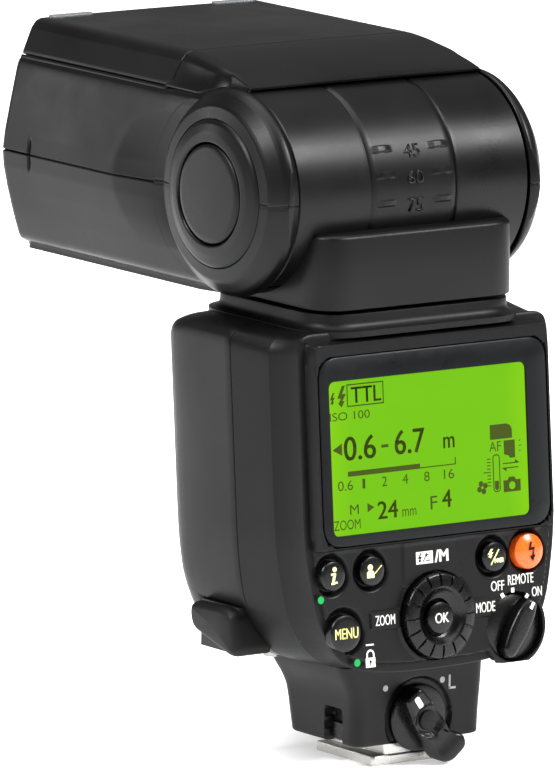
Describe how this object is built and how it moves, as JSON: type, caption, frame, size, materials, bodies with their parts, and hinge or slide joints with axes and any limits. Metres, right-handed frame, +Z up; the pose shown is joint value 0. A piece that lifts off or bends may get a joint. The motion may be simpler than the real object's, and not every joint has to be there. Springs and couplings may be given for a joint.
{
  "type": "camera speedlight flash",
  "caption": "Black shoe-mount camera flash: a tilting, swivelling lamp head on a battery body with a rear green screen, round buttons, a selector dial, a rotary switch and a locking metal foot.",
  "frame": {"origin": "centre of the mounting foot's sole, where it meets the camera shoe", "axes": "+X right seen from the rear screen side, +Y forward (the way the lamp points), +Z up"},
  "size_m": [0.0728, 0.1043, 0.1375],
  "materials": {
    "cover_black": "fine matte moulded texture",
    "control_black": "satin moulded plastic",
    "bezel_grey": "smooth matte printed border",
    "screen_green": "backlit display, yellow-green",
    "diffuser_white": "matte white",
    "board_green": "solder mask",
    "mat_grey": "silicone rubber",
    "sleeve_blue": "shrink sleeve",
    "winding_copper": "varnished wire",
    "cell_can": "printed can",
    "contact_gold": "plated",
    "foot_metal": "nickel plated, fine brushed",
    "steel": "turned steel",
    "lamp_red": "dark red, clear",
    "button_orange": "glossy orange, domed",
    "lens_clear": "moulded clear acrylic",
    "reflector_metal": "polished",
    "card_white": "matte white",
    "rubber_black": "matte rubber"
  },
  "bodies": {
    "body": {"rear_cover": "cover_black", "front_cover": "cover_black", "foot_housing": "cover_black", "mounting_foot": "foot_metal", "contact_block": "bezel_grey", "shoe_contacts": "contact_gold", "foot_screws": "steel", "cover_screws": "steel", "screen_bezel": "bezel_grey", "lcd_panel": "screen_green", "lcd_backlight": "diffuser_white", "main_board": "board_green", "button_mat": "mat_grey", "flash_capacitor": "sleeve_blue", "step_up_transformer": "winding_copper", "aa_cells": "cell_can", "battery_cradle": "bezel_grey", "battery_contacts": "contact_gold", "af_lamp_window": "lamp_red", "light_sensor_window": "bezel_grey", "terminal_block": "bezel_grey"},
    "neck": {"neck_block": "cover_black", "tilt_drum": "cover_black", "swivel_spindle": "steel", "tilt_axle": "steel"},
    "head": {"head_top_cover": "cover_black", "head_upper_shell": "cover_black", "head_lower_shell": "cover_black", "hub_rings": "cover_black", "hub_disc": "cover_black", "lens_bezel": "cover_black", "fresnel_lens": "lens_clear", "zoom_rails": "steel", "zoom_motor": "steel", "fan_frame": "bezel_grey"},
    "zoom_carriage": {"reflector": "reflector_metal", "flash_tube": "lens_clear"},
    "lead_screw": {"lead_screw": "steel"},
    "fan_rotor": {"fan_rotor": "bezel_grey"},
    "bounce_card": {"bounce_card": "card_white"},
    "wide_panel": {"wide_panel": "lens_clear"},
    "release_button": {"release_button": "cover_black"},
    "info_button": {"info_button": "control_black"},
    "remote_button": {"remote_button": "control_black"},
    "link_button": {"link_button": "control_black"},
    "test_button": {"test_button": "button_orange"},
    "menu_button": {"menu_button": "control_black"},
    "ok_button": {"ok_button": "control_black"},
    "selector_dial": {"selector_dial": "control_black"},
    "power_switch": {"power_switch": "control_black"},
    "lock_lever": {"lock_lever": "control_black"},
    "lever_push": {"lever_push": "rubber_black"},
    "lock_pin": {"lock_pin": "steel"},
    "battery_door": {"battery_door": "cover_black"},
    "terminal_cover": {"terminal_cover": "rubber_black"}
  },
  "joints": [
    {"name": "neck_swivel", "type": "hinge", "parent": "body", "child": "neck", "pos_m": [0, 0.0096, 0.0907], "axis": [0, 0, 1], "range_deg": [-180, 180]},
    {"name": "head_tilt", "type": "hinge", "parent": "neck", "child": "head", "pos_m": [0, 0.0136, 0.1117], "axis": [1, 0, 0], "range_deg": [-7, 90]},
    {"name": "zoom_slide", "type": "slide", "parent": "head", "child": "zoom_carriage", "axis": [0, 1, 0], "range_m": [-0.016, 0]},
    {"name": "lead_screw_spin", "type": "hinge", "parent": "head", "child": "lead_screw", "pos_m": [0.0284, 0.06, 0.117], "axis": [0, 1, 0], "range_deg": [-1440, 0]},
    {"name": "fan_spin", "type": "hinge", "parent": "head", "child": "fan_rotor", "pos_m": [0, 0.04, 0.1116], "axis": [0, 1, 0], "continuous": true},
    {"name": "bounce_card_slide", "type": "slide", "parent": "head", "child": "bounce_card", "axis": [0, 1, 0], "range_m": [0, 0.038]},
    {"name": "wide_panel_slide", "type": "slide", "parent": "head", "child": "wide_panel", "axis": [0, 1, 0], "range_m": [0, 0.034]},
    {"name": "release_press", "type": "slide", "parent": "head", "child": "release_button", "axis": [1, 0, 0], "range_m": [0, 0.001], "stiffness_N_per_m": 800},
    {"name": "info_press", "type": "slide", "parent": "body", "child": "info_button", "axis": [0, 0.9952, -0.0976], "range_m": [0, 0.0006], "stiffness_N_per_m": 1000},
    {"name": "remote_press", "type": "slide", "parent": "body", "child": "remote_button", "axis": [0, 0.9952, -0.0976], "range_m": [0, 0.0006], "stiffness_N_per_m": 1000},
    {"name": "link_press", "type": "slide", "parent": "body", "child": "link_button", "axis": [0, 0.9952, -0.0976], "range_m": [0, 0.0006], "stiffness_N_per_m": 1000},
    {"name": "test_press", "type": "slide", "parent": "body", "child": "test_button", "axis": [0, 0.9952, -0.0976], "range_m": [0, 0.0006], "stiffness_N_per_m": 1000},
    {"name": "menu_press", "type": "slide", "parent": "body", "child": "menu_button", "axis": [0, 0.9952, -0.0976], "range_m": [0, 0.0006], "stiffness_N_per_m": 1000},
    {"name": "ok_press", "type": "slide", "parent": "body", "child": "ok_button", "axis": [0, 0.9952, -0.0976], "range_m": [0, 0.0006], "stiffness_N_per_m": 1000},
    {"name": "dial_spin", "type": "hinge", "parent": "body", "child": "selector_dial", "pos_m": [-0.0005, -0.01816, 0.03059], "axis": [0, -0.9952, 0.0976], "continuous": true},
    {"name": "power_turn", "type": "hinge", "parent": "body", "child": "power_switch", "pos_m": [0.019, -0.01855, 0.02661], "axis": [0, -0.9952, 0.0976], "range_deg": [0, 66]},
    {"name": "lock_lever_turn", "type": "hinge", "parent": "body", "child": "lock_lever", "pos_m": [0, -0.0135, 0.0093], "axis": [0, 1, 0], "range_deg": [0, 90]},
    {"name": "lever_push_press", "type": "slide", "parent": "lock_lever", "child": "lever_push", "axis": [0, 1, 0], "range_m": [0, 0.001], "stiffness_N_per_m": 500},
    {"name": "lock_pin_drop", "type": "slide", "parent": "body", "child": "lock_pin", "axis": [0, 0, -1], "range_m": [0, 0.0014]},
    {"name": "battery_door_hinge", "type": "hinge", "parent": "body", "child": "battery_door", "pos_m": [0.0341, 0.01867, 0.05471], "axis": [0, 0.0976, 0.9952], "range_deg": [0, 80]},
    {"name": "terminal_cover_hinge", "type": "hinge", "parent": "body", "child": "terminal_cover", "pos_m": [-0.0345, 0.0161, 0.0272], "axis": [0, 0, -1], "range_deg": [0, 100]}
  ],
  "couplings": [
    {"joint": "lead_screw_spin", "follows": "zoom_slide", "rad_per_m": 1570.8},
    {"joint": "lock_pin_drop", "follows": "lock_lever_turn", "m_per_rad": 0.00089127}
  ]
}
